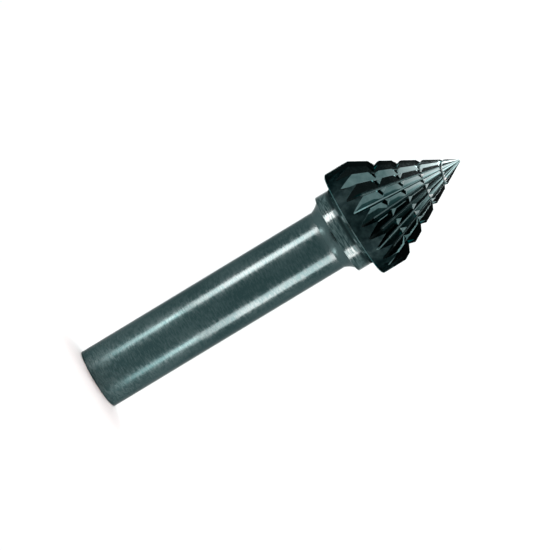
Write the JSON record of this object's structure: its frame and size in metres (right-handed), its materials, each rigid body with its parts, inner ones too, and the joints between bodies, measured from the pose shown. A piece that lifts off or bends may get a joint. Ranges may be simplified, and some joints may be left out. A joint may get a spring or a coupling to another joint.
{
  "type": "conical rotary burr",
  "caption": "Rotary burr with a pointed 60 degree cone head, straight saw-shaped flutes, helical chip-breaker groove and a plain round shank for a collet.",
  "frame": {"origin": "centre of the flat end face of the shank, which the burr stands on", "axes": "+Z along the axis of rotation from the shank end to the tip of the cone; +X and +Y are radial, and the teeth are set out from +X"},
  "size_m": [0.0108, 0.0108, 0.0401],
  "materials": {
    "ground_steel": "fine ground, with turning marks on neck and collar",
    "braze_metal": "dull, uneven",
    "carbide": "dark ground carbide"
  },
  "bodies": {
    "root": {"shank": "ground_steel", "braze_joint": "braze_metal", "cutting_head": "carbide"}
  },
  "joints": []
}
